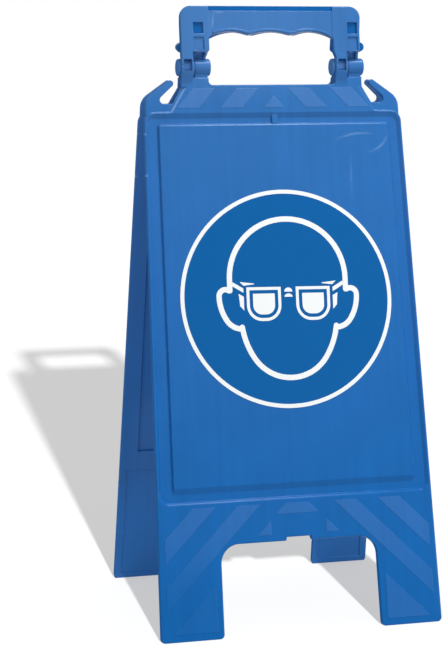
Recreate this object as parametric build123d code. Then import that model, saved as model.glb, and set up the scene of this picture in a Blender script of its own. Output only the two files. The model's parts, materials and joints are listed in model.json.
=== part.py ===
"""Folding warning sign: two alike moulded leaves hinged under a split handle.

Millimetres, +Z up, floor at z = 0, hinge axis along X. The front leaf faces -Y and the sign stands open.
A leaf is drawn upright in its own terms: u to the right, v up from the hinge axis, n out of the hinge plane.
"""
import os
from math import atan2, cos, degrees, radians, sin, tan

from build123d import *

os.makedirs("parts", exist_ok=True)

# Stance
lean = 12.0                  # each leaf from the vertical, degrees
hinge_height = 535.0         # hinge axis above the floor
stop_gap = 0.1               # left between the handle halves when they meet

# Hinge
hinge_u = 77.7               # hinge centres either side of the middle
barrel_radius = 8.4
barrel_length = 16.0
barrel_round = 1.6
barrel_gap = 0.2             # each barrel's inner end from the hinge centre
strap_clear = 8.8            # inside radius of a strap over the other leaf's barrel
strap_outer, strap_inner = 13.8, 2.0   # edges of a strap, to the left of the hinge centre
strap_foot_v = -20.5
pin_radius = 2.5
pin_length = 29.0
press_bore = 2.51
running_bore = 2.56
bore_end = 1.3

# Panel
face_n = 5.5                 # outer face of the frame around the panel
back_n = 0.4                 # inner rim, so folded leaves lie twice this apart
wall = 2.6                   # sheet left in front of the inner pockets
rim_width = 7.2              # solid rim beside the pockets behind the lower band and the feet
foot_wall = 4.3              # sheet left in front of those pockets
bead_width = 2.2             # slope from the frame's face down to the neck borders and the hooks
edge_round = 1.2
foot_v = -548.3              # lower edge before the feet are cut level with the floor
foot_half = 140.0            # half the width at the feet
foot_round = 4.8
shoulder_half = 130.0        # half the width below the hooks
shoulder_v = -64.0
shoulder_top_v = -44.2
shoulder_round = 11.0
yoke_half, yoke_v, yoke_round = 103.0, -43.2, 8.0      # where the neck's slant meets the shoulder
neck_half, neck_v, neck_round = 88.6, -19.8, 6.0       # narrowest place, below the ears
ear_in = hinge_u - 13.8
ear_out = hinge_u + 14.2
ear_v = -10.9
ear_round = 4.0              # inner corner between an ear and the hand opening
opening_v = -18.1            # lower edge of the hand opening

# Leg arch
arch_half = 77.4
arch_v = -460.0
arch_round = 18.0
arch_draft = 1.0             # the arch is this much wider at the floor
notch_half = 11.7
notch_v = -456.5

# Chain hooks
hook_n = 4.3                 # outer face of the hooks and the neck borders
hook_half = 128.2
hook_foot_v = -72.0
slot_in, slot_end = 100.4, 112.9                       # slot's level bottom, from the neck to its round end
slot_v = -36.0
slot_corner, slot_round = 2.0, 3.9                     # rounding beside the neck and at the far end
neck_slope = 61.0            # slot's side along the neck, degrees from level
neck_reach = 18.0            # and its length
slot_slope = 42.2            # slot's side along the horn
horn_reach = 15.9            # and its straight length
tip_round = 3.2
horn_slope = 36.5            # outer edge of the horn
horn_round = 16.0

# Recessed field and the raised label pad in it
field_top, field_bottom = -45.6, -419.5
field_half_top, field_half_bottom = 128.0, 135.2
field_round = 10.0
field_floor_n = 3.0
field_slopes = 4.5, 3.0, 2.0  # width of its sloped edges above, beside and below
pad_top, pad_bottom = -55.6, -410.0
pad_half_top, pad_half_bottom = 117.0, 121.5
pad_round = 3.2
pad_slopes = 1.6, 1.6, 5.5
pad_n = 5.4
gentle_depth = 0.8           # upper part of the slopes, laid flatter below the field and above the pad
gentle_width = 1.4
hollow_edges = 3.0, 2.5, 8.0  # from the pad's outline to the hollow behind it
tick_width = 5.4
tick_n = 4.8
label_radius = 106.0
label_u, label_v = 2.0, -227.5
label_thick = 0.2

# Raised stripes: each one runs between two places across at the top of its field, and slants outward below
stripe_n = 5.65
top_stripe_fall = 0.9        # sideways run of a stripe for each millimetre down
top_stripe_v = -21.6
top_stripe_end_v = -40.6
top_stripes = [(58.3, 80.4), (14.9, 36.9), (-40.0, -6.6)]
low_stripe_fall = 1.0
low_stripe_v = -424.0
low_stripe_end_v = -453.6
low_stripes = [(81.1, 103.6), (37.0, 59.4), (-120.0, 11.5)]       # the last fills the rest of the feet
stripe_margin = 6.5          # from the sides of the feet
stripe_clear, stripe_clear_round = 7.0, 38.0            # from the leg arch, and around its corners
plate_u, plate_v, plate_width, plate_height = 0.5, -444.0, 55.0, 20.0   # bare place in the lower band

# Handle half
handle_v = 57.2
handle_n_low, handle_n_top = 12.0, 15.5
handle_round = 10.5
handle_edge = 1.4
handle_depth = 6.0           # flange depth where the middle plane leaves room
handle_wall = 3.0
handle_rim = 2.6
handle_left = -hinge_u - strap_outer
handle_right = hinge_u + 11.7
opening_left = -hinge_u + 14.5
opening_right = hinge_u - 15.9
column_v = 12.6              # underside of the short columns over the barrels
column_round = 3.0
leg_v = 13.5                 # where the right leg narrows to its strap
grip_cusps = [(opening_left, 27.9), (-23.2, 29.1), (18.8, 29.1), (opening_right, 25.9)]
grip_crests = [(-44.6, 32.5), (-2.2, 32.5), (40.6, 32.3)]
grip_round = 3.0
cusp_round = 8.0
grip_wall_v = 35.6           # lower edge of the hollow behind the grip
grip_depth, grip_slope = 0.8, 1.8          # recess of the grip's face between the columns, and its sloped ends
lip_height, lip_proud = 3.3, 1.0           # bead along the scallops, over the grip's face
lip_slope, lip_slope_height = 0.9, 1.4
rebate_v = 52.4
rebate_depth = 1.5
window_left, window_right = -1.1, 8.9      # from the hinge centre, as for the dent and the sight hole
window_low_v, window_high_v = 30.4, 41.3
window_depth = 2.0
dent_left, dent_right = -1.1, 9.2
dent_low_v, dent_high_v = 14.2, 27.2
dent_depth = 1.2
sight_left, sight_right = -11.6, -3.6
sight_low_v, sight_high_v = -5.4, 5.6
lug_v = 18.0
lug_reach = 4.5
lug_height = 8.8
lug_n = 10.0
lug_bite = 0.3               # into the side of the handle

far = 300.0                  # beyond everything, for cutting shapes


def slab(face, n_from, n_to):
    """Solid between two depths, from a face drawn in u and v."""
    return extrude(Plane.XZ.offset(n_from) * face, amount=n_to - n_from)


def side_plane(u):
    """Plane across the leaf, drawn on in n and v."""
    return Plane(origin=(u, 0, 0), x_dir=(0, -1, 0), z_dir=(-1, 0, 0))


def prism(points, u_from, u_to):
    """Solid along u, from a closed profile of (n, v) points."""
    return extrude(side_plane(u_to) * make_face(Polyline(*points, close=True)), amount=u_to - u_from)


def bar(radius, u_from, u_to):
    """Round bar along the hinge axis."""
    from_end = (Align.CENTER, Align.CENTER, Align.MIN)
    return Plane.YZ.offset(u_from) * Cylinder(radius, u_to - u_from, align=from_end)


def polygon(*points):
    return make_face(Polyline(*points, close=True))


def upright(u_from, u_to, v_from, v_to):
    """Rectangle between two places across and two heights."""
    return polygon((u_from, v_from), (u_to, v_from), (u_to, v_to), (u_from, v_to))


def beyond(point, angle, reach):
    """Point at a distance and an angle, in degrees, from another."""
    return point[0] + reach * cos(radians(angle)), point[1] + reach * sin(radians(angle))


def alongside(points, reach):
    """Points of an open line moved to the right of its run, with mitred corners."""
    runs = [degrees(atan2(end[1] - start[1], end[0] - start[0])) for start, end in zip(points, points[1:])]
    moved = []
    for point, before, after in zip(points, runs[:1] + runs, runs + runs[-1:]):
        turn = after - before
        moved.append(beyond(point, before + turn / 2 - 90, reach / cos(radians(turn / 2))))
    return moved


def both_sides(*points):
    """A polygon and its mirror image."""
    return polygon(*points) + polygon(*[(-u, v) for u, v in points])


def outline(corners):
    """Face inside a closed line of (u, v, rounding) corners."""
    line = FilletPolyline(*[(u, v) for u, v, _ in corners], radius=[r for _, _, r in corners], close=True)
    return make_face(line)


def mirrored(corners):
    """Right-hand corners of an outline, followed by the left-hand ones."""
    return corners + [(-u, v, r) for u, v, r in reversed(corners)]


def side_u(v):
    """Half the panel's width at a height."""
    return shoulder_half + (foot_half - shoulder_half) * (shoulder_v - v) / (shoulder_v - foot_v)


def rounded_field(top, bottom, half_top, half_bottom, rounding, drawn_in=(0, 0, 0)):
    """Tapered panel outline with round corners, drawn in above, beside and below."""
    above, beside, below = drawn_in
    corner = rounding - beside
    right = [(half_top - beside, top - above, corner), (half_bottom - beside, bottom + below, corner)]
    return outline(mirrored(right))


def soften(solid, n, rounding):
    """Round all edges that lie at one depth."""
    return fillet(solid.edges().filter_by_position(Axis.Y, -n - 0.01, -n + 0.01), rounding)


def handle_out(v):
    """Outer face of the handle half, which flares outward."""
    return handle_n_low + (handle_n_top - handle_n_low) * v / handle_v


def handle_in(v):
    """Middle plane of the open sign, seen from the leaf."""
    return v * tan(radians(lean)) + stop_gap / 2 / cos(radians(lean))


def handle_layer(face, out_from, out_to):
    """Part of the handle between two offsets from its outer face."""
    low, top = -far, far
    layer = prism([(handle_out(low) + out_from, low), (handle_out(low) + out_to, low),
                   (handle_out(top) + out_to, top), (handle_out(top) + out_from, top)], -far, far)
    return slab(face, -far, far) & layer


def panel():
    """Frame with ears, neck, shoulders, feet and the leg arch."""
    corners = [(ear_in, opening_v, ear_round), (ear_in, ear_v, 0), (ear_out, ear_v, 0),
               (neck_half, neck_v, neck_round), (yoke_half, yoke_v, yoke_round),
               (side_u(shoulder_top_v), shoulder_top_v, shoulder_round),
               (foot_half, foot_v, foot_round), (arch_half + arch_draft, foot_v, foot_round),
               (arch_half, arch_v, arch_round), (notch_half + arch_draft, arch_v, 0), (notch_half, notch_v, 0)]
    frame = soften(slab(outline(mirrored(corners)), back_n, face_n), face_n, edge_round)
    cut = neck_slopes()
    return frame - [cut, mirror(cut, about=Plane.YZ)]


def neck_slopes():
    """Cut that slopes the frame's edge down to the right hook."""
    edge = [(ear_out, ear_v), (neck_half, neck_v), (yoke_half, yoke_v), (side_u(shoulder_top_v), shoulder_top_v)]
    outside = alongside(edge, -wall)
    low = polygon(*outside, *reversed(edge))
    high = polygon(*outside, *reversed(alongside(edge, bead_width)))
    return loft([Plane.XZ.offset(hook_n) * low, Plane.XZ.offset(face_n) * high], ruled=True)


def hook():
    """Right chain hook, with the border that runs up the neck."""
    neck_foot = (slot_in, slot_v)
    neck_top = beyond(neck_foot, 180 - neck_slope, neck_reach)
    round_centre = (slot_end - slot_round, slot_v + slot_round)
    round_start = beyond(round_centre, -90, slot_round)
    round_middle = beyond(round_centre, -slot_slope / 2, slot_round)
    horn_foot = beyond(round_centre, 90 - slot_slope, slot_round)
    tip_inner = beyond(horn_foot, 180 - slot_slope, horn_reach)
    tip_outer = beyond(tip_inner, 90 - slot_slope, 2 * tip_round)
    tip_end = beyond(beyond(tip_inner, 90 - slot_slope, tip_round), 180 - slot_slope, tip_round)
    horn_corner_v = tip_outer[1] - (hook_half - tip_outer[0]) * tan(radians(horn_slope))
    border_v = ear_v - edge_round
    with BuildSketch() as sketch:
        with BuildLine():
            Polyline((ear_in, yoke_v), (ear_in, border_v), (neck_top[0], border_v), neck_top)
            FilletPolyline(neck_top, neck_foot, round_start, radius=[slot_corner])
            ThreePointArc(round_start, round_middle, horn_foot)
            Line(horn_foot, tip_inner)
            ThreePointArc(tip_inner, tip_end, tip_outer)
            FilletPolyline(tip_outer, (hook_half, horn_corner_v), (hook_half, hook_foot_v), radius=[horn_round])
            Polyline((hook_half, hook_foot_v), (slot_in, hook_foot_v), (ear_in, yoke_v))
        make_face()
    return soften(slab(sketch.sketch, back_n, hook_n), hook_n, edge_round)


def field_cut():
    """Recess with sloped sides in the middle of the panel."""
    sizes = field_top, field_bottom, field_half_top, field_half_bottom, field_round
    share = gentle_depth / (face_n - field_floor_n)
    above, beside, below = [share * width for width in field_slopes]
    sections = [Plane.XZ.offset(face_n) * rounded_field(*sizes, (0, 0, below - gentle_width)),
                Plane.XZ.offset(face_n - gentle_depth) * rounded_field(*sizes, (above, beside, below)),
                Plane.XZ.offset(field_floor_n) * rounded_field(*sizes, field_slopes)]
    return loft(sections, ruled=True)


def label_pad():
    """Raised pad with sloped sides, and the short tick above it."""
    sizes = pad_top, pad_bottom, pad_half_top, pad_half_bottom, pad_round
    share = 1 - gentle_depth / (pad_n - field_floor_n)
    above, beside, below = [share * width for width in pad_slopes]
    sections = [Plane.XZ.offset(field_floor_n) * rounded_field(*sizes),
                Plane.XZ.offset(pad_n - gentle_depth) * rounded_field(*sizes, (above, beside, below)),
                Plane.XZ.offset(pad_n) * rounded_field(*sizes, (above + gentle_width, *pad_slopes[1:]))]
    tick = upright(-tick_width / 2, tick_width / 2, pad_top - pad_slopes[0], field_top - field_slopes[0] / 2)
    return loft(sections, ruled=True) + slab(tick, field_floor_n - wall / 4, tick_n)


def inner_pockets():
    """Hollows of the inner side, behind the pad, the lower band and the feet."""
    sizes = pad_top, pad_bottom, pad_half_top, pad_half_bottom, pad_round
    behind_pad = rounded_field(*sizes, hollow_edges)
    band_top, band_end = field_bottom - rim_width / 2, notch_v + rim_width / 2
    foot_end = foot_v + rim_width
    band = upright(-side_u(band_top) + rim_width, side_u(band_top) - rim_width, band_end, band_top)
    feet = both_sides((arch_half + arch_round, band_end), (side_u(band_top) - rim_width, band_end),
                      (side_u(foot_end) - rim_width, foot_end), (arch_half + rim_width, foot_end),
                      (arch_half + rim_width, arch_v - arch_round))
    return [slab(behind_pad, 0, pad_n - wall), slab(band + feet, 0, face_n - foot_wall)]


def chevrons(field, places, fall, top):
    """Slanting stripes on both sides of the middle, cut to a field."""
    cut = []
    run = fall * far
    for inner, outer in places:
        stripe = polygon((inner, top), (outer, top), (outer + run, top - far), (inner + run, top - far))
        stripe &= upright(0, far, top - far, top)
        cut += [stripe & field, mirror(stripe, about=Plane.YZ) & field]
    return Sketch() + cut


def stripes():
    """Raised stripes on the top band, the lower band and the feet."""
    top_field = upright(-far, far, top_stripe_end_v, top_stripe_v)
    foot_end = foot_v + rim_width
    low_field = both_sides((0, low_stripe_v), (side_u(low_stripe_v) - stripe_margin, low_stripe_v),
                           (side_u(foot_end) - stripe_margin, foot_end), (0, foot_end))
    arch_in = arch_half + stripe_clear
    low_field -= outline(mirrored([(arch_in, foot_v, 0), (arch_in, low_stripe_end_v, stripe_clear_round)]))
    low_field -= Pos(plate_u, plate_v) * Rectangle(plate_width, plate_height)
    faces = chevrons(top_field, top_stripes, top_stripe_fall, top_stripe_v)
    faces += chevrons(low_field, low_stripes, low_stripe_fall, low_stripe_v)
    return slab(faces, face_n - wall / 4, stripe_n)


def hand_opening():
    """Opening under the grip, with a scalloped upper edge for the fingers."""
    with BuildSketch() as sketch:
        with BuildLine():
            for start, crest, end in zip(grip_cusps, grip_crests, grip_cusps[1:]):
                ThreePointArc(start, crest, end)
            Polyline(grip_cusps[3], (opening_right, opening_v), (opening_left, opening_v), grip_cusps[0])
        make_face()
        for rounding, inner in ((cusp_round, True), (grip_round, False)):
            upper = sketch.vertices().filter_by(lambda corner: corner.Y > leg_v).sort_by(Axis.X)
            fillet(upper[1:-1] if inner else [upper[0], upper[-1]], rounding)
    return sketch.sketch


def handle_half():
    """Half of the handle, hollow towards the other half."""
    opening = hand_opening()
    left_strap, right_strap = -hinge_u - strap_inner, hinge_u - strap_inner
    leg_in = hinge_u - strap_outer
    bridge_v = leg_v + 2 * column_round
    shape = outline([
        (handle_left, 0, 0), (handle_left, handle_v, handle_round), (handle_right, handle_v, handle_round),
        (handle_right, column_v, column_round), (right_strap, column_v, 0), (right_strap, 0, 0), (leg_in, 0, 0),
        (leg_in, barrel_radius, 0), (opening_right, leg_v, 0), (opening_right, bridge_v, 0),
        (opening_left, bridge_v, 0), (opening_left, column_v, column_round), (left_strap, column_v, 0),
        (left_strap, 0, 0)])
    flange_in = handle_n_low - handle_depth
    closing = handle_in(1) - handle_in(0) - handle_out(1) + handle_out(0)
    flange_v = (flange_in - handle_in(0)) / closing
    over = handle_v + handle_wall
    wedge = prism([(flange_in, 0), (handle_n_low, 0), (handle_out(over), over), (handle_in(over), over),
                   (handle_in(flange_v), flange_v)], -far, far)
    half = slab(shape - opening, 0, far) & wedge
    half = fillet(half.faces().sort_by(Axis.Y)[0].edges(), handle_edge)

    rim = handle_rim
    hollow = outline([
        (handle_left + rim, -rim, 0), (handle_left + rim, handle_v - rim, handle_round - rim),
        (handle_right - rim, handle_v - rim, handle_round - rim), (handle_right - rim, column_v + rim, 0),
        (right_strap - rim, column_v + rim, 0), (right_strap - rim, -rim, 0), (leg_in + rim, -rim, 0),
        (leg_in + rim, barrel_radius, 0), (opening_right + rim, leg_v, 0),
        (opening_right + rim, grip_wall_v, 0), (opening_left - rim, grip_wall_v, 0),
        (opening_left - rim, column_v + rim, 0), (left_strap - rim, column_v + rim, 0),
        (left_strap - rim, -rim, 0)])
    half -= handle_layer(hollow, -far, -handle_wall)

    rebate = upright(opening_left, opening_right, rebate_v, far)
    half -= handle_layer(rebate, -rebate_depth, far)
    half -= grip_recess()
    half += grip_lip(opening)
    for centre in (-hinge_u, hinge_u):
        window = upright(centre + window_left, centre + window_right, window_low_v, window_high_v)
        half -= handle_layer(window, -window_depth, far)
        dent = upright(centre + dent_left, centre + dent_right, dent_low_v, dent_high_v)
        half -= handle_layer(dent, -dent_depth, far)
    return half + lug()


def grip_recess():
    """Cut that sets the grip's face back between the columns."""
    flare = (handle_n_top - handle_n_low) / handle_v
    across = Plane(origin=(0, -handle_n_low, 0), x_dir=(1, 0, 0), z_dir=(0, -flare, 1))
    profile = polygon((opening_left, 0), (opening_left + grip_slope, grip_depth),
                      (opening_right - grip_slope, grip_depth), (opening_right, 0),
                      (opening_right, -handle_wall), (opening_left, -handle_wall))
    return extrude(across * profile, amount=handle_v + handle_wall)


def grip_lip(opening):
    """Bead with sloped sides along the scallops."""
    face = Pos(0, lip_height) * opening - opening
    face &= upright(opening_left + lip_height, opening_right - lip_height, leg_v + grip_round, far)
    lip = handle_layer(face, -handle_wall / 2, lip_proud - grip_depth)
    crest = lip.faces().sort_by(Axis.Y)[0]
    return chamfer(crest.edges(), lip_slope, lip_slope_height, reference=crest)


def lug():
    """Thumb lug beside the right column, kept in front of the middle plane."""
    face = Pos(handle_right, lug_v) * SlotOverall(2 * lug_reach, lug_height)
    face &= upright(handle_right - lug_bite, far, -far, far)
    return slab(face, handle_in(lug_v + lug_height / 2), lug_n)


def strap(centre):
    """Strap that carries the handle past the other leaf's barrel."""
    foot = (face_n, strap_foot_v)
    head = (handle_n_low, 0)
    curve = Bezier(head, (handle_n_low, strap_foot_v * 0.45), (face_n, strap_foot_v * 0.55), foot)
    back = Polyline(foot, (face_n - wall, strap_foot_v), (face_n - wall, 0), head)
    profile = make_face([curve, back])
    return extrude(side_plane(centre - strap_inner) * profile, amount=strap_outer - strap_inner)


def barrel(centre):
    """Hinge barrel with a web down into the ear."""
    start = centre + barrel_gap
    solid = bar(barrel_radius, start, start + barrel_length)
    solid = fillet(solid.edges().sort_by(Axis.X)[-1], barrel_round)
    web = upright(start, start + barrel_length - 2 * barrel_round, opening_v, -barrel_radius / 3)
    return solid + slab(web, back_n, hook_n)


def bore(centre, radius):
    """Blind bore for a pin, from the hinge centre into the barrel."""
    return bar(radius, centre, centre + barrel_gap + barrel_length - bore_end)


def leaf():
    """One moulding, without its bores."""
    right_hook = hook()
    solid = panel() + [right_hook, mirror(right_hook, about=Plane.YZ)]
    solid = solid - field_cut() + label_pad() - inner_pockets() + stripes()
    centres = (-hinge_u, hinge_u)
    solid += [handle_half(), *[strap(centre) for centre in centres]]
    for centre in centres:
        other_end = centre - barrel_gap - barrel_length
        solid -= bar(strap_clear, other_end - 2 * barrel_gap, centre)
        sight = upright(centre + sight_left, centre + sight_right, sight_low_v, sight_high_v)
        solid -= slab(sight, face_n - wall, far)
    return solid + [barrel(centre) for centre in centres]


def stand(solid):
    """Lean a part of the front leaf back and set it on the floor."""
    return Pos(0, 0, hinge_height) * Rot(X=-lean) * solid


def level_feet(solid):
    return solid - Pos(0, 0, -far) * Box(2 * far, 2 * far, 2 * far)


def to_rear(solid):
    return Rot(Z=180) * solid


moulding = leaf()
front_bores = [bore(centre, press_bore) for centre in (-hinge_u, hinge_u)]
rear_bores = [bore(centre, running_bore) for centre in (-hinge_u, hinge_u)]
label = slab(Pos(label_u, label_v) * Circle(label_radius), pad_n, pad_n + label_thick)
pin = Pos(0, 0, hinge_height) * bar(pin_radius, -pin_length / 2, pin_length / 2)
parts = {
    "front_leaf": level_feet(stand(moulding - front_bores)),
    "rear_leaf": to_rear(level_feet(stand(moulding - rear_bores))),
    "left_hinge_pin": Pos(-hinge_u) * pin,
    "right_hinge_pin": Pos(hinge_u) * pin,
    "front_label": stand(label),
    "rear_label": to_rear(stand(label)),
}
for name, shape in parts.items():
    print(name, len(shape.solids()), "solid", round(shape.volume / 1000, 1), "cm3", shape.is_valid)
    export_step(shape.solid(), f"parts/{name}.step")
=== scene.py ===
"""Folding warning sign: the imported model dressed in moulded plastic, steel, vinyl film and printed white."""
import json
from math import cos, pi, radians, sin

import bmesh
import bpy
from bpy.props import FloatProperty, FloatVectorProperty, PointerProperty
from mathutils import Euler, Matrix, Vector

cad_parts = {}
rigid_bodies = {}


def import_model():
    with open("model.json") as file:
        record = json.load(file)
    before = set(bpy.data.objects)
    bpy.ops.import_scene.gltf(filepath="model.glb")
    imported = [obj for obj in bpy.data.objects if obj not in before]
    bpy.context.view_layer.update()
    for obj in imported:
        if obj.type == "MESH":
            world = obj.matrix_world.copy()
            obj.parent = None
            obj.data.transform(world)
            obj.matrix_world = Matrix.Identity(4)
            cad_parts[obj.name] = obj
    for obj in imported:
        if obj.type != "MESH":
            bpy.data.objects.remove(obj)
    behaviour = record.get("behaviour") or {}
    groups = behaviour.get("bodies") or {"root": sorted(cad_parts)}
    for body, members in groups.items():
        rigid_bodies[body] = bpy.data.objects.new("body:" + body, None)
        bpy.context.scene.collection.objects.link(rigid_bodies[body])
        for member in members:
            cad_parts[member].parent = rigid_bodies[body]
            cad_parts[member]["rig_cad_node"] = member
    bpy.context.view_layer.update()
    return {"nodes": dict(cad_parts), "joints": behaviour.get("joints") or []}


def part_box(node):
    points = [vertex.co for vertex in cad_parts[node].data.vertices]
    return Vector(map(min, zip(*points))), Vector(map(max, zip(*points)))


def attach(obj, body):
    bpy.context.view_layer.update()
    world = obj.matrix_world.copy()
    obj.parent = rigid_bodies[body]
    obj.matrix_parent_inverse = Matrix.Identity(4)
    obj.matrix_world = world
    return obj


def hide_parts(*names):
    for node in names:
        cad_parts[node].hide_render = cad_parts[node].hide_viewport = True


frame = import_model()

bl_info = {
    "name": "Folding Warning Sign",
    "version": (1, 0, 0),
    "blender": (4, 5, 0),
    "location": "View3D > Sidebar > Sign",
    "description": "Dresses the packed folding sign and sets its studio",
    "category": "Object",
}

MM = 0.001
LEAN = radians(12)
HINGE = Vector(frame["joints"][0]["pos_m"])
# From a leaf's own terms, across, up and outward from the hinge, to the shared frame
FRONT = Matrix.Translation(HINGE) @ Matrix.Rotation(pi / 2 - LEAN, 4, "X")
LEAVES = {"front": FRONT, "rear": Matrix.Rotation(pi, 4, "Z") @ FRONT}
# Places on a leaf in those terms, as the solids have them
HALF_WIDTH = 140 * MM                              # at the feet
HANDLE_FOOT = 8.5 * MM
HANDLE_FACE, HANDLE_FLARE = 12.0 * MM, 0.0612      # how far out at the hinge, and its gain on the way up
HOLLOW_DEPTH = 1.35 * MM                           # the handle's hollows are deeper than this
NECK = -20.5 * MM
STRIPE_FACE = 5.65 * MM                            # no other face below the neck is this far out
# Painted sheen: the plastic's colour grows lighter and paler from the feet up to the handle, standing in for
# the sheen of the overhead light
SHEEN_LOW, SHEEN_HIGH = -530 * MM, 10 * MM           # from the feet to the handle
SHEEN_STOPS = 0.60, 0.91                            # middle and top of the panel on that way
GRAIN_HIGH, GRAIN_LOW = -445 * MM, -500 * MM       # on the feet, where the stripes' grain fades out
# Rubs on the panels and grips, in metres: an arc's centre and radius, its middle, how far from there it
# can be seen, and its strength
RUBS = {
    "front": [
        ((0.0904, -0.1432), 0.0762, (0.080, -0.068), 0.022, 0.5),
        ((0.0904, -0.0607), 0.0251, (0.106, -0.080), 0.015, 0.5),
        ((1.0737, -0.1450), 1.0, (0.074, -0.110), 0.024, 0.2),
        ((0.9324, -0.0872), 1.0, (-0.0591, 0.0425), 0.0105, 0.5),
        ((-0.0525, -0.9490), 1.0, (-0.0525, 0.0510), 0.007, 0.45),
    ],
    "rear": [((0.020, -0.300), 0.09, (-0.055, -0.350), 0.030, 0.5)],
}
RUB_HALF = 1.2 * MM                                # half a rub's width
# Nicks in the side edges, drawn pale: partly wear, partly painted glints where their edges catch light
NICKS_WITH_GLINTS = {"front": [(-0.1295, -0.0653), (-0.1301, -0.1052)], "rear": [(0.1302, -0.0655), (0.1308, -0.1075)]}
NICK_REACH, NICK_STRENGTH = 4.0 * MM, 0.9
# The figure sits a little askew on the label: a turn, and millimetres to the right
HEAD_ASKEW = radians(-1.0), 1.15
GOGGLES_ASKEW = radians(-0.9), 1.25
BEND_STEP = radians(4)                             # of a bent line in the figure
# The photo's camera, solved from the outline of the front leaf in it
CAMERA_PLACE = (-0.4903, -1.7313, 0.5309)
CAMERA_DOWN, CAMERA_TURN, CAMERA_ROLL = radians(7.945), radians(-14.305), radians(-0.243)
FOCAL_PIXELS, LONG_SIDE_PIXELS = 1822, 652
SENSOR_MM = 36.0


def linear(code):
    """Linear colour of an sRGB hex code."""
    shares = [int(code[at:at + 2], 16) / 255 for at in (1, 3, 5)]
    return tuple(s / 12.92 if s <= 0.04045 else ((s + 0.055) / 1.055) ** 2.4 for s in shares)


def colour_property(name, description, code):
    """Colour setting, from an sRGB hex code."""
    return FloatVectorProperty(name=name, description=description, subtype="COLOR", size=3, min=0, max=1,
                               default=linear(code))


def length_property(name, description, millimetres):
    """Length setting, from millimetres."""
    return FloatProperty(name=name, description=description, unit="LENGTH", min=0, precision=5,
                         default=millimetres * MM)


class SignColours(bpy.types.PropertyGroup):
    """Colours of the finishes and of the studio"""
    # Handle, top, middle and feet are one blue: the lighter, paler colours higher up are painted sheen of the
    # overhead light
    handle: colour_property("Handle", "Plastic of the handle, the most faded", "#4479B8")
    leaf_top_with_sheen: colour_property("Leaf, top", "Plastic at the top of the panel, a little faded", "#3170B4")
    leaf_mid: colour_property("Leaf, middle", "Plastic in the middle of the panel", "#276EB8")
    leaf_foot: colour_property("Leaf, feet", "Plastic at the feet", "#0066B3")
    stripe: colour_property("Stripes", "Grain of the raised stripes, where it catches light", "#93AFE3")
    # Rubs, scratches and worn edge spots are real wear; at the nicks this pale also stands in for painted
    # glints
    scuff_and_glint: colour_property("Scuffs", "Rubbed and scratched plastic", "#8FB6E6")
    # Grey of the inner sides: partly dust, partly a painted reflection of the white floor
    dust_and_sheen: colour_property("Dust", "Fine dust on the inner sides", "#C9CCD2")
    label: colour_property("Label", "Printed ground of the round label", "#0D62A7")
    ink: colour_property("White ink", "Ring, head and goggles", "#FFFFFF")
    steel: colour_property("Steel", "Hinge pins", "#A9ABAD")
    floor: colour_property("Floor", "Paint of the studio floor", "#898989")
    lamp: colour_property("Lamps", "Daylight of the softboxes, a little cool", "#F6FDFF")


class SignSizes(bpy.types.PropertyGroup):
    """Sizes of the print on the labels"""
    film: length_property("Ink thickness", "How far the print stands on the label", 0.1)
    ring_width: length_property("Ring width", "Width of the white ring at the label's edge", 3.9)
    head_line: length_property("Head line", "Width of the line around the head", 5.2)
    skull_radius: length_property("Skull radius", "Radius of the skull, at the middle of its line", 58.0)
    lens_width: length_property("Lens width", "Width of a goggle lens with its frame", 34.4)
    lens_height: length_property("Lens height", "Height of a goggle lens with its frame", 32.8)
    lens_round: length_property("Lens rounding", "Rounding of a lens's lower corners", 15.0)
    lens_frame: length_property("Lens frame", "Width of the frame around a lens", 2.9)
    lens_gap: length_property("Lens gap", "Bare line between a frame and its lens", 3.4)


def add(tree, kind, inputs=None, **settings):
    """Add a node with its settings, and link its inputs to other nodes or set them, by name or number."""
    made = tree.nodes.new("ShaderNode" + kind)
    for name, value in settings.items():
        setattr(made, name, value)
    for name, value in (inputs or {}).items():
        if isinstance(value, bpy.types.Node):
            value = next(socket for socket in value.outputs if socket.enabled)
        if isinstance(value, bpy.types.NodeSocket):
            tree.links.new(value, made.inputs[name])
        else:
            made.inputs[name].default_value = value
    return made


def new_material(name):
    """Material with an empty tree."""
    material = bpy.data.materials.new(name)
    material.use_nodes = True
    material.node_tree.nodes.clear()
    return material, material.node_tree


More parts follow.
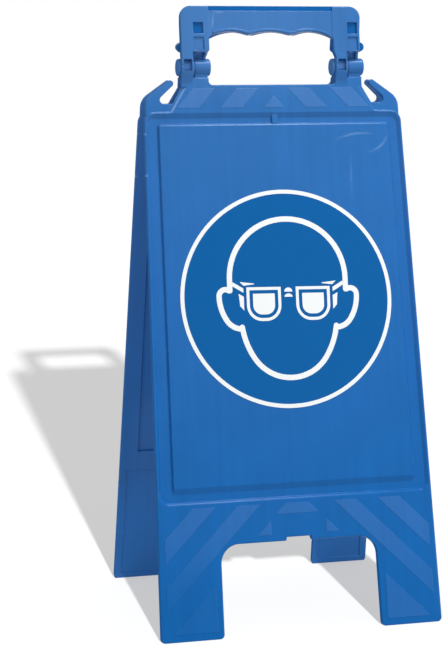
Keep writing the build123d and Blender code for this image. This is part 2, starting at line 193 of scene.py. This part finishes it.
def moulded_polypropylene(side):
    """Injection moulded polypropylene: an even satin blue with faint flow lines down the panel, with painted
    sheen that makes it lighter and paler toward the top and a little less so on the right, painted shade in
    the handle's hollows, matt where the mould was spark-grained, and pale where edges and faces are rubbed and
    at nicks, which are partly painted glints."""
    colours = bpy.context.scene.sign_colours
    material, tree = new_material(f"moulded_polypropylene_{side}")
    back = LEAVES[side].inverted()
    coordinates = add(tree, "TexCoord")
    place = add(tree, "Mapping", {
        "Vector": coordinates.outputs["Object"], "Location": back.to_translation(),
        "Rotation": back.to_euler("XYZ")})
    axes = add(tree, "SeparateXYZ", {"Vector": place})
    across, up, out = axes.outputs

    # Painted sheen: the colour runs from the feet's deep blue up to the paler handle, as the overhead light's
    # sheen would, and a little less on the right side. Painted shade: the handle's hollows keep the feet's
    # deep blue
    face = add(tree, "Math", {0: up, 1: HANDLE_FLARE, 2: HANDLE_FACE}, operation="MULTIPLY_ADD")
    depth = add(tree, "Math", {0: face, 1: out}, operation="SUBTRACT")
    sunk = add(tree, "Math", {0: depth, 1: HOLLOW_DEPTH}, operation="GREATER_THAN")
    handle = add(tree, "Math", {0: up, 1: HANDLE_FOOT}, operation="GREATER_THAN")
    shaded_hollow = add(tree, "Math", {0: sunk, 1: handle}, operation="MULTIPLY")
    height = add(tree, "MapRange", {"Value": up, "From Min": SHEEN_LOW, "From Max": SHEEN_HIGH})
    less_sheen_on_right = add(tree, "MapRange", {"Value": across, "From Max": HALF_WIDTH, "To Max": 0.08})
    sheened = add(tree, "Math", {0: height, 1: less_sheen_on_right}, operation="SUBTRACT")
    sheen_and_shade = add(tree, "Math", {0: sheened, 1: shaded_hollow}, operation="SUBTRACT", use_clamp=True)
    body = add(tree, "ValToRGB", {"Fac": sheen_and_shade})
    for share in SHEEN_STOPS:
        body.color_ramp.elements.new(share)
    shades = (colours.leaf_foot, colours.leaf_mid, colours.leaf_top_with_sheen, colours.handle)
    for stop, colour in zip(body.color_ramp.elements, shades):
        stop.color = (*colour, 1)

    # Clouds 45 mm wide, and flow lines 7 mm wide and 180 mm long
    cloud = add(tree, "TexNoise", {"Vector": place, "Scale": 1 / 0.045, "Detail": 3.0})
    drawn = add(tree, "Mapping", {"Vector": place, "Scale": (1 / 0.007, 1 / 0.18, 1 / 0.05)})
    flow = add(tree, "TexNoise", {"Vector": drawn, "Scale": 1.0, "Detail": 2.0})
    swirl = add(tree, "Math", {0: cloud, 1: flow}, operation="ADD")
    tone = add(tree, "MapRange", {
        "Value": swirl, "From Min": 0.6, "From Max": 1.4, "To Min": 0.93, "To Max": 1.07})
    # Painted shade: the handle's hollows are drawn a further 13% darker
    shaded = add(tree, "Math", {0: shaded_hollow, 1: -0.13, 2: tone}, operation="MULTIPLY_ADD")
    toned = add(tree, "VectorMath", {0: body, 1: shaded}, operation="MULTIPLY")

    # The stripes' spark grain is about 0.3 mm; it is drawn at 1.1 mm so that it shows
    level = add(tree, "Math", {0: out, 1: STRIPE_FACE, 2: 0.05 * MM}, operation="COMPARE")
    below = add(tree, "Math", {0: up, 1: NECK}, operation="LESS_THAN")
    stripe = add(tree, "Math", {0: level, 1: below}, operation="MULTIPLY")
    grain = add(tree, "TexNoise", {"Vector": place, "Scale": 1 / 0.0011, "Detail": 2.0})
    sparks = add(tree, "MapRange", {
        "Value": grain, "From Min": 0.25, "From Max": 0.75, "To Min": 0.6, "To Max": 1.4})
    pale = add(tree, "MapRange", {"Value": height, "To Min": 0.065, "To Max": 0.105})
    # On the feet the stripes' grain fades out, on the left one most
    low = add(tree, "MapRange", {"Value": up, "From Min": GRAIN_HIGH, "From Max": GRAIN_LOW, "To Max": -1.0})
    left = add(tree, "Math", {0: across, 1: 0.0}, operation="LESS_THAN")
    lost = add(tree, "Math", {0: left, 1: 0.4, 2: 0.4}, operation="MULTIPLY_ADD")
    kept = add(tree, "Math", {0: low, 1: lost, 2: 1.0}, operation="MULTIPLY_ADD")
    paled = add(tree, "Math", {0: pale, 1: kept}, operation="MULTIPLY")
    speckled = add(tree, "Math", {0: sparks, 1: paled}, operation="MULTIPLY")
    matt = add(tree, "Math", {0: stripe, 1: speckled}, operation="MULTIPLY")
    striped = add(tree, "Mix", {"Factor": matt, 6: toned, 7: (*colours.stripe, 1)}, data_type="RGBA")

    # Edges, rounded by 1 mm, are worn pale in spots about 4 mm long
    corner = add(tree, "Bevel", {"Radius": 1.0 * MM}, samples=6)
    facing = add(tree, "VectorMath", {0: corner, 1: add(tree, "NewGeometry").outputs["True Normal"]},
                 operation="DOT_PRODUCT")
    edge = add(tree, "MapRange", {"Value": facing, "From Min": 0.90, "From Max": 0.78})
    spots = add(tree, "TexNoise", {"Vector": place, "Scale": 1 / 0.009, "Detail": 1.0})
    spotted = add(tree, "MapRange", {"Value": spots, "From Min": 0.62, "From Max": 0.70, "To Max": 0.8})
    marks_and_glints = add(tree, "Math", {0: edge, 1: spotted}, operation="MULTIPLY")
    # A rub is an arc around a centre that dies out away from its middle, and a nick one with no radius; a
    # nick's pale is partly a painted glint
    flat = add(tree, "VectorMath", {0: place, 1: (1, 1, 0)}, operation="MULTIPLY")
    streaky = add(tree, "MapRange", {"Value": grain, "From Min": 0.35, "From Max": 0.6})
    nicks_with_glints = [(nick, 0.0, nick, NICK_REACH, NICK_STRENGTH) for nick in NICKS_WITH_GLINTS[side]]
    for centre, radius, middle, reach, strength in RUBS[side] + nicks_with_glints:
        away = add(tree, "VectorMath", {0: flat, 1: (*centre, 0)}, operation="DISTANCE")
        line = add(tree, "Math", {0: away, 1: radius, 2: RUB_HALF}, operation="COMPARE")
        far = add(tree, "VectorMath", {0: flat, 1: (*middle, 0)}, operation="DISTANCE")
        dying = add(tree, "MapRange", {"Value": far, "From Min": reach, "From Max": 0.0, "To Max": strength})
        arc = add(tree, "Math", {0: line, 1: dying}, operation="MULTIPLY")
        rub = add(tree, "Math", {0: arc, 1: streaky}, operation="MULTIPLY")
        marks_and_glints = add(tree, "Math", {0: marks_and_glints, 1: rub}, operation="MAXIMUM")
    worn = add(tree, "Mix", {"Factor": marks_and_glints, 6: striped, 7: (*colours.scuff_and_glint, 1)}, data_type="RGBA")
    # Fine dust greys the inner side, which is never wiped; the grey is partly a painted reflection of the
    # white floor in the satin plastic
    normal = coordinates.outputs["Normal"]
    inward = add(tree, "VectorMath", {0: normal, 1: -LEAVES[side].col[2].to_3d()}, operation="DOT_PRODUCT")
    inner = add(tree, "MapRange", {
        "Value": inward.outputs["Value"], "From Min": 0.3, "From Max": 0.6, "To Max": 0.05})
    dusted_and_sheened = add(tree, "Mix", {"Factor": inner, 6: worn, 7: (*colours.dust_and_sheen, 1)}, data_type="RGBA")

    smooth = add(tree, "MapRange", {"Value": cloud, "To Min": 0.15, "To Max": 0.22})
    grained = add(tree, "Math", {0: stripe, 1: 0.22, 2: smooth}, operation="MULTIPLY_ADD")
    # The side walls come out of a milled mould without polish, and are matt
    sideways = add(tree, "VectorMath", {0: normal, 1: (1, 0, 0)}, operation="DOT_PRODUCT")
    wall = add(tree, "Math", {0: sideways.outputs["Value"]}, operation="ABSOLUTE")
    milled = add(tree, "MapRange", {"Value": wall, "From Min": 0.75, "From Max": 0.95, "To Max": 0.65})
    rough = add(tree, "Math", {0: grained, 1: milled}, operation="ADD")
    # The skin is uneven over 6 mm, and the grain 0.1 mm deep. The specular level is low, because white
    # surroundings in it would turn the deep blue milky
    peel = add(tree, "TexNoise", {"Vector": place, "Scale": 1 / 0.006, "Detail": 2.0})
    skin = add(tree, "Bump", {"Height": peel, "Strength": 0.2, "Distance": 0.0001, "Normal": corner})
    pits = add(tree, "Math", {0: grain, 1: stripe}, operation="MULTIPLY")
    sparked = add(tree, "Bump", {"Height": pits, "Strength": 0.5, "Distance": 0.0002, "Normal": skin})
    shader = add(tree, "BsdfPrincipled", {
        "Base Color": dusted_and_sheened, "Roughness": rough, "IOR": 1.49, "Specular IOR Level": 0.14, "Normal": sparked})
    add(tree, "OutputMaterial", {"Surface": shader})
    return material


def cast_vinyl():
    """Cast vinyl film, printed and rolled on: a flat, even blue, hardly any gloss and a faint waviness."""
    material, tree = new_material("cast_vinyl_film")
    # Rolled-on film lies uneven over 14 mm
    wave = add(tree, "TexNoise", {
        "Vector": add(tree, "TexCoord").outputs["Object"], "Scale": 1 / 0.014, "Detail": 1.0})
    tone = add(tree, "MapRange", {"Value": wave, "To Min": 0.97, "To Max": 1.03})
    ground = add(tree, "VectorMath", {0: bpy.context.scene.sign_colours.label, 1: tone}, operation="MULTIPLY")
    rough = add(tree, "MapRange", {"Value": wave, "To Min": 0.42, "To Max": 0.50})
    bump = add(tree, "Bump", {"Height": wave, "Strength": 0.1, "Distance": 0.0001})
    shader = add(tree, "BsdfPrincipled", {
        "Base Color": ground, "Roughness": rough, "Specular IOR Level": 0.07, "Normal": bump})
    add(tree, "OutputMaterial", {"Surface": shader})
    return material


def screen_ink():
    """White screen-printing ink: an opaque, even white with a soft sheen and the mesh's faint texture."""
    material, tree = new_material("white_screen_ink")
    # A screen has a thread each 0.2 mm; its texture is drawn at 0.9 mm so that it shows
    weave = add(tree, "TexNoise", {
        "Vector": add(tree, "TexCoord").outputs["Object"], "Scale": 1 / 0.0009, "Detail": 1.0})
    tone = add(tree, "MapRange", {"Value": weave, "To Min": 0.98, "To Max": 1.0})
    white = add(tree, "VectorMath", {0: bpy.context.scene.sign_colours.ink, 1: tone}, operation="MULTIPLY")
    rough = add(tree, "MapRange", {"Value": weave, "To Min": 0.45, "To Max": 0.55})
    bump = add(tree, "Bump", {"Height": weave, "Strength": 0.1, "Distance": 0.00005})
    shader = add(tree, "BsdfPrincipled", {
        "Base Color": white, "Roughness": rough, "Specular IOR Level": 0.2, "Normal": bump})
    add(tree, "OutputMaterial", {"Surface": shader})
    return material


def drawn_steel():
    """Bright drawn steel: fine lines along the pin from the die."""
    material, tree = new_material("drawn_steel")
    # Die lines 0.2 mm apart and 20 mm long
    along = add(tree, "Mapping", {
        "Vector": add(tree, "TexCoord").outputs["Object"], "Scale": (1 / 0.02, 1 / 0.0002, 1 / 0.0002)})
    lines = add(tree, "TexNoise", {"Vector": along, "Scale": 1.0, "Detail": 2.0})
    rough = add(tree, "MapRange", {"Value": lines, "To Min": 0.25, "To Max": 0.45})
    bump = add(tree, "Bump", {"Height": lines, "Strength": 0.2, "Distance": 0.00002})
    colour = (*bpy.context.scene.sign_colours.steel, 1)
    shader = add(tree, "BsdfPrincipled", {
        "Base Color": colour, "Metallic": 1.0, "Roughness": rough, "Normal": bump})
    add(tree, "OutputMaterial", {"Surface": shader})
    return material


def deselect():
    """Select nothing."""
    bpy.ops.object.select_all(action="DESELECT")


def wear(piece, material):
    """Give a piece one material."""
    piece.data.materials.clear()
    piece.data.materials.append(material)


def choose(piece):
    """Select one piece alone."""
    deselect()
    piece.select_set(True)
    bpy.context.view_layer.objects.active = piece


def modify(piece, kind, **settings):
    """Add a modifier to a piece and apply it."""
    choose(piece)
    modifier = piece.modifiers.new(kind.lower(), kind)
    for name, value in settings.items():
        setattr(modifier, name, value)
    bpy.ops.object.modifier_apply(modifier=modifier.name)


def pick(test):
    """Select the vertices of the edited mesh whose place passes a test, and what lies between them."""
    data = bpy.context.edit_object.data
    bpy.ops.mesh.select_mode(type="VERT")
    bpy.ops.mesh.select_all(action="DESELECT")
    work = bmesh.from_edit_mesh(data)
    for vertex in work.verts:
        vertex.select = test(vertex.co)
    work.select_flush(True)
    bmesh.update_edit_mesh(data)


def new_plane(name, corners):
    """Flat piece with four corners, in millimetres, left in edit mode."""
    deselect()
    bpy.ops.mesh.primitive_plane_add(size=1)
    piece = bpy.context.object
    piece.name = piece.data.name = name
    # A new plane's vertices run lower left, lower right, upper left, upper right
    for vertex, (x, y) in zip(piece.data.vertices, (corners[0], corners[1], corners[3], corners[2])):
        vertex.co = (x, y, 0)
    bpy.ops.object.mode_set(mode="EDIT")
    bpy.ops.mesh.select_all(action="SELECT")
    return piece


def draw_line(name, start, heading, width, moves, round_end=True):
    """Flat line of even width from a start, in millimetres: each move is a length ahead or a bend (radius,
    degrees), bent to the right where the radius is negative. The first move is a length."""
    x, y = start
    across = (-sin(heading) * width / 2, cos(heading) * width / 2)
    first = moves[0]
    ahead = (cos(heading) * first, sin(heading) * first)
    piece = new_plane(name, [
        (x - across[0], y - across[1]), (x - across[0] + ahead[0], y - across[1] + ahead[1]),
        (x + across[0] + ahead[0], y + across[1] + ahead[1]), (x + across[0], y + across[1])])
    x, y = x + ahead[0], y + ahead[1]

    def at_tip(place):
        """Whether a point is at the end of the line so far: within half its width, and level with its tip."""
        off = Vector((place.x - x, place.y - y))
        return off.length < width * 0.51 and abs(off.dot((cos(heading), sin(heading)))) < 0.05

    for move in moves[1:]:
        pick(at_tip)
        if isinstance(move, tuple):
            radius, turn = move
            turn = radians(turn) if radius > 0 else -radians(turn)
            centre = (x - sin(heading) * radius, y + cos(heading) * radius)
            steps = max(4, round(abs(turn) / BEND_STEP))
            bpy.ops.mesh.spin(steps=steps, angle=-turn, center=(*centre, 0), axis=(0, 0, 1))
            heading += turn
            x, y = centre[0] + sin(heading) * radius, centre[1] - cos(heading) * radius
        else:
            ahead = (cos(heading) * move, sin(heading) * move)
            bpy.ops.mesh.extrude_region_move(TRANSFORM_OT_translate={"value": (*ahead, 0)})
            x, y = x + ahead[0], y + ahead[1]
    if round_end:
        pick(at_tip)
        bpy.ops.mesh.bevel(offset=width * 0.49, segments=6, affect="VERTICES")
    bpy.ops.object.mode_set(mode="OBJECT")
    return piece


def tidy_flat(piece):
    """Merge doubled points and turn every face of a flat piece up."""
    choose(piece)
    bpy.ops.object.mode_set(mode="EDIT")
    bpy.ops.mesh.select_all(action="SELECT")
    bpy.ops.mesh.remove_doubles(threshold=0.005)
    bpy.ops.mesh.normals_make_consistent(inside=False)
    work = bmesh.from_edit_mesh(piece.data)
    for face in work.faces:
        face.select = face.normal.z < 0
    bmesh.update_edit_mesh(piece.data)
    if any(face.select for face in work.faces):
        bpy.ops.mesh.flip_normals()
    bpy.ops.object.mode_set(mode="OBJECT")


def both_halves(piece):
    """Mirror a right-hand piece to the left."""
    modify(piece, "MIRROR", use_clip=True, use_mirror_merge=True, merge_threshold=0.01)


def thicken(piece):
    """Give a flat piece the thickness of the ink, upward."""
    tidy_flat(piece)
    modify(piece, "SOLIDIFY", thickness=bpy.context.scene.sign_sizes.film / MM, offset=1)


def join(name, pieces):
    """Join pieces into one."""
    choose(pieces[0])
    for piece in pieces[1:]:
        piece.select_set(True)
    bpy.ops.object.join()
    joined = bpy.context.object
    joined.name = joined.data.name = name
    return joined


def weld(piece, others):
    """Unite overlapping pieces into one."""
    for other in others:
        modify(piece, "BOOLEAN", operation="UNION", object=other, solver="EXACT")
        bpy.data.objects.remove(other)


def label_place(turn=0.0, shift=0.0):
    """Where a print, drawn around the label's centre with a unit for a millimetre, goes on the front leaf."""
    back = FRONT.inverted()
    points = [back @ vertex.co for vertex in frame["nodes"]["front_label"].data.vertices]
    centre = [(min(p[i] for p in points) + max(p[i] for p in points)) / 2 for i in (0, 1)]
    face = max(p.z for p in points)
    return (FRONT @ Matrix.Translation((*centre, face)) @ Matrix.Rotation(turn, 4, "Z")
            @ Matrix.Translation((shift * MM, 0, 0)) @ Matrix.Scale(MM, 4))


def print_on_both(piece, name, place):
    """Put a print on the front label and a copy of it on the rear one."""
    choose(piece)
    bpy.ops.object.duplicate(linked=False)
    copy = bpy.context.object
    ink = bpy.data.materials.get("white_screen_ink") or screen_ink()
    for side, printed in (("front", piece), ("rear", copy)):
        choose(printed)
        printed.matrix_world = LEAVES[side] @ FRONT.inverted() @ place
        bpy.ops.object.transform_apply(location=True, rotation=True, scale=True)
        printed.name = printed.data.name = f"{side}_{name}"
        wear(printed, ink)
        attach(printed, side)


class SIGN_OT_leaves(bpy.types.Operator):
    """Dress both leaves: a merged, smoothly shaded copy of each moulding in its plastic"""
    bl_idname = "sign.leaves"
    bl_label = "Leaves"

    def execute(self, context):
        for side in LEAVES:
            node = f"{side}_leaf"
            choose(frame["nodes"][node])
            bpy.ops.object.duplicate(linked=False)
            leaf = context.object
            leaf.name = leaf.data.name = f"{side}_moulding"
            del leaf["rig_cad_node"]
            bpy.ops.object.mode_set(mode="EDIT")
            bpy.ops.mesh.select_all(action="SELECT")
            bpy.ops.mesh.remove_doubles(threshold=0.002 * MM)
            bpy.ops.object.mode_set(mode="OBJECT")
            bpy.ops.mesh.customdata_custom_splitnormals_clear()
            # Round surfaces are in steps of 10 degrees or less; the field's shallow slopes keep their edges
            bpy.ops.object.shade_smooth_by_angle(angle=radians(12.5))
            modify(leaf, "WEIGHTED_NORMAL", weight=80, keep_sharp=True)
            wear(leaf, moulded_polypropylene(side))
            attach(leaf, side)
            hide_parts(node)
        return {"FINISHED"}


class SIGN_OT_pins(bpy.types.Operator):
    """Finish the hinge pins"""
    bl_idname = "sign.pins"
    bl_label = "Hinge pins"

    def execute(self, context):
        steel = drawn_steel()
        for node in ("left_hinge_pin", "right_hinge_pin"):
            wear(frame["nodes"][node], steel)
        return {"FINISHED"}


class SIGN_OT_labels(bpy.types.Operator):
    """Finish the round labels"""
    bl_idname = "sign.labels"
    bl_label = "Labels"

    def execute(self, context):
        vinyl = cast_vinyl()
        for side in LEAVES:
            wear(frame["nodes"][f"{side}_label"], vinyl)
        return {"FINISHED"}


class SIGN_OT_rings(bpy.types.Operator):
    """Print the white ring at each label's edge"""
    bl_idname = "sign.rings"
    bl_label = "Rings"

    def execute(self, context):
        low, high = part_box("front_label")
        radius = (high.x - low.x) / 2 / MM
        deselect()
        bpy.ops.mesh.primitive_circle_add(vertices=144, radius=radius, fill_type="NOTHING")
        ring = context.object
        bpy.ops.object.mode_set(mode="EDIT")
        bpy.ops.mesh.select_all(action="SELECT")
        bpy.ops.mesh.extrude_region_move()
        inner = 1 - context.scene.sign_sizes.ring_width / MM / radius
        bpy.ops.transform.resize(value=(inner, inner, 1))
        bpy.ops.object.mode_set(mode="OBJECT")
        thicken(ring)
        print_on_both(ring, "ring", label_place())
        return {"FINISHED"}


class SIGN_OT_heads(bpy.types.Operator):
    """Print the outline of a head on each label"""
    bl_idname = "sign.heads"
    bl_label = "Heads"

    def execute(self, context):
        sizes = context.scene.sign_sizes
        width = sizes.head_line / MM
        skull = sizes.skull_radius / MM
        # Heights from the label's centre; the dome and the jaw start at the middle and are mirrored
        brow = 19.3
        chin = -76.6
        dome = draw_line("dome", (0, brow + skull), 0, width, [0.2, (-skull, 90), 13.5])
        jaw = draw_line("jaw", (0, chin), 0, width, [0.2, (42.7, 56.4), (72.5, 24), 5.0])
        for line in (dome, jaw):
            both_halves(line)
            thicken(line)
        ear_moves = [1.0, (-6.4, 126.9), (-42.5, 34), (-18.0, 58)]
        ear = draw_line("ear", (skull, 7.5), radians(37.3), width, ear_moves, round_end=False)
        both_halves(ear)
        thicken(ear)
        weld(dome, [ear, jaw])
        print_on_both(dome, "head", label_place(*HEAD_ASKEW))
        return {"FINISHED"}


class SIGN_OT_goggles(bpy.types.Operator):
    """Print the goggles on each label"""
    bl_idname = "sign.goggles"
    bl_label = "Goggles"

    def execute(self, context):
        sizes = context.scene.sign_sizes
        # The right lens's edge beside the nose and its top, from the label's centre
        inside, top = 7.5, 11.4
        outside = inside + sizes.lens_width / MM
        bottom = top - sizes.lens_height / MM
        lens = new_plane("lens", [(inside, bottom), (outside, bottom), (outside, top), (inside, top)])
        pick(lambda place: place.y < 0)
        bpy.ops.mesh.bevel(offset=sizes.lens_round / MM, segments=9, affect="VERTICES")
        bpy.ops.mesh.select_all(action="SELECT")
        bpy.ops.mesh.inset(thickness=sizes.lens_frame / MM)
        bpy.ops.mesh.inset(thickness=sizes.lens_gap / MM)
        work = bmesh.from_edit_mesh(lens.data)
        glass = next(face for face in work.faces if face.select)
        gap = {face for edge in glass.edges for face in edge.link_faces if face is not glass}
        for face in work.faces:
            face.select = face in gap
        bmesh.update_edit_mesh(lens.data)
        bpy.ops.mesh.delete(type="ONLY_FACE")
        bpy.ops.object.mode_set(mode="OBJECT")

        sides = {
            "temple": [(44.9, 6.2), (55.6, 12.6), (56.3, 17.0), (44.9, 10.4)],
            "brow": [(34.1, 14.2), (44.6, 13.0), (48.4, 16.6), (34.0, 15.0)],
            "shield": [(44.7, -11.0), (48.6, -6.8), (49.7, 5.2), (44.7, 2.4)],
        }
        pieces = [lens]
        for name, corners in sides.items():
            pieces.append(new_plane(name, corners))
            bpy.ops.object.mode_set(mode="OBJECT")
        # The bridge is two domes, one over the other
        half_width = 4.1
        for base, height in ((6.6, 4.0), (1.6, 3.2)):
            deselect()
            bpy.ops.mesh.primitive_circle_add(vertices=32, radius=half_width, fill_type="NGON")
            bridge = context.object
            bpy.ops.object.mode_set(mode="EDIT")
            bpy.ops.mesh.select_all(action="SELECT")
            bpy.ops.transform.resize(value=(1, height / half_width, 1))
            bpy.ops.mesh.bisect(plane_co=(0, 0, 0), plane_no=(0, 1, 0), clear_inner=True)
            bpy.ops.mesh.select_all(action="SELECT")
            bpy.ops.mesh.bisect(plane_co=(0, 0, 0), plane_no=(1, 0, 0), clear_inner=True)
            bpy.ops.mesh.select_all(action="SELECT")
            bpy.ops.transform.translate(value=(0, base, 0))
            bpy.ops.object.mode_set(mode="OBJECT")
            pieces.append(bridge)
        goggles = join("goggles", pieces)
        both_halves(goggles)
        thicken(goggles)
        print_on_both(goggles, "goggles", label_place(*GOGGLES_ASKEW))
        return {"FINISHED"}


class SIGN_OT_stage(bpy.types.Operator):
    """Set the floor, the lights, the white surroundings and the camera"""
    bl_idname = "sign.stage"
    bl_label = "Stage"

    def execute(self, context):
        self.floor(context)
        self.surroundings(context)
        self.lamps(context)
        self.camera(context)
        return {"FINISHED"}

    def floor(self, context):
        """A grey floor that glows a little to the camera and in reflections: white, with a pale shadow."""
        deselect()
        bpy.ops.mesh.primitive_plane_add(size=30, location=(0, 0, 0))
        floor = context.object
        floor.name = floor.data.name = "studio_floor"
        material, tree = new_material("painted_studio_floor")
        paint = add(tree, "BsdfDiffuse", {"Color": (*context.scene.sign_colours.floor, 1)})
        strength = add(tree, "Math", {0: self.seen(tree), 1: 0.5}, operation="MULTIPLY")
        glow = add(tree, "Emission", {"Strength": strength})
        add(tree, "OutputMaterial", {"Surface": add(tree, "AddShader", {0: paint, 1: glow})})
        wear(floor, material)

    def seen(self, tree):
        """1 for what the camera sees, directly, reflected or through glass, and 0 for light that falls."""
        path = add(tree, "LightPath")
        direct = add(tree, "Math", {0: path.outputs["Is Camera Ray"], 1: path.outputs["Is Glossy Ray"]},
                     operation="MAXIMUM")
        return add(tree, "Math", {0: direct, 1: path.outputs["Is Transmission Ray"]}, operation="MAXIMUM")

    def surroundings(self, context):
        """A pure white backdrop that lights the sign less than it shows."""
        world = context.scene.world or bpy.data.worlds.new("surroundings")
        context.scene.world = world
        world.use_nodes = True
        tree = world.node_tree
        tree.nodes.clear()
        fill = add(tree, "Background", {"Color": (1, 1, 1, 1), "Strength": 0.45})
        white = add(tree, "Background", {"Color": (1, 1, 1, 1), "Strength": 1.0})
        add(tree, "OutputWorld", {"Surface": add(tree, "MixShader", {0: self.seen(tree), 1: fill, 2: white})})

    def lamps(self, context):
        """Softboxes for the sign, and a low lamp for the floor."""
        floor = bpy.data.objects["studio_floor"]
        pieces = [piece for piece in bpy.data.objects if piece.type == "MESH" and piece is not floor]
        inner = [bpy.data.objects["rear_moulding"]]
        # Place, size in metres, power, and the pieces that are lit and cast a shadow. The top softbox draws
        # the bright lines over the pad and below the field, the left lamp those beside the neck and the right
        # lamp those on the barrels. The inner side of the rear leaf has a fill of its own, which the front
        # leaf doesn't stop
        softboxes = {
            "front_softbox": ((1.45, -1.86, 0.10), 0.7, 14.0, pieces),
            "top_softbox": ((0.46, -0.46, 2.1), 0.52, 20.0, pieces),
            "left_lamp": ((-1.09, -0.91, 1.98), 0.16, 3.2, pieces),
            "right_lamp": ((0.5, -1.2, 2.1), 0.13, 3.5, pieces),
            "inner_fill": ((-0.9, -1.9, 0.30), 1.0, 9.0, inner),
        }
        aim = Vector((0, 0, 0.3))
        for name, (place, size, power, lit) in softboxes.items():
            bpy.ops.object.light_add(type="AREA", location=place)
            lamp = context.object
            lamp.name = name
            lamp.data.size = size
            lamp.data.energy = power
            lamp.data.color = context.scene.sign_colours.lamp
            lamp.rotation_euler = (aim - Vector(place)).to_track_quat("-Z", "Y").to_euler()
            self.aim_at(lamp, lit, lit)
        # A low lamp that lights the floor alone gives the long shadow without more light on the sign
        bpy.ops.object.light_add(type="SUN", rotation=(radians(71), 0, radians(-2.5)))
        low = context.object
        low.name = "floor_lamp"
        low.data.energy = 16.0
        low.data.angle = radians(1.2)
        self.aim_at(low, [floor], pieces)

    def aim_at(self, lamp, lit, stops):
        """Let a lamp light only some pieces, and only some pieces stop its light."""
        for name, chosen in (("receiver", lit), ("blocker", stops)):
            group = bpy.data.collections.new(f"{lamp.name}_{name}s")
            for piece in chosen:
                group.objects.link(piece)
            setattr(lamp.light_linking, f"{name}_collection", group)

    def camera(self, context):
        """The photo's camera, and plain display of colours."""
        bpy.ops.object.camera_add()
        camera = context.object
        camera.name = "photo_camera"
        turn = Euler((pi / 2 - CAMERA_DOWN, 0, CAMERA_TURN)).to_matrix().to_4x4()
        roll = Matrix.Rotation(CAMERA_ROLL, 4, "Z")
        camera.matrix_world = Matrix.Translation(CAMERA_PLACE) @ turn @ roll
        camera.data.sensor_width = SENSOR_MM
        camera.data.lens = SENSOR_MM * FOCAL_PIXELS / LONG_SIDE_PIXELS
        context.scene.camera = camera
        context.scene.view_settings.view_transform = "Standard"


class SIGN_PT_panel(bpy.types.Panel):
    """Sidebar panel with the sign's colours, sizes and steps"""
    bl_idname = "SIGN_PT_panel"
    bl_label = "Folding sign"
    bl_space_type = "VIEW_3D"
    bl_region_type = "UI"
    bl_category = "Sign"

    def draw(self, context):
        for group in (context.scene.sign_colours, context.scene.sign_sizes):
            for name in group.__annotations__:
                self.layout.prop(group, name)
        for step in STEPS:
            self.layout.operator(step.bl_idname)


STEPS = (SIGN_OT_leaves, SIGN_OT_pins, SIGN_OT_labels, SIGN_OT_rings, SIGN_OT_heads, SIGN_OT_goggles,
         SIGN_OT_stage)
CLASSES = (SignColours, SignSizes, *STEPS, SIGN_PT_panel)


def register():
    """Add the classes, and the settings to the scene."""
    for kind in CLASSES:
        bpy.utils.register_class(kind)
    bpy.types.Scene.sign_colours = PointerProperty(type=SignColours)
    bpy.types.Scene.sign_sizes = PointerProperty(type=SignSizes)


def unregister():
    """Take the settings and the classes away."""
    del bpy.types.Scene.sign_sizes
    del bpy.types.Scene.sign_colours
    for kind in reversed(CLASSES):
        bpy.utils.unregister_class(kind)


def main():
    """Dress the sign and set the stage."""
    register()
    bpy.ops.sign.leaves()
    bpy.ops.sign.pins()
    bpy.ops.sign.labels()
    bpy.ops.sign.rings()
    bpy.ops.sign.heads()
    bpy.ops.sign.goggles()
    bpy.ops.sign.stage()


if __name__ == "__main__":
    main()
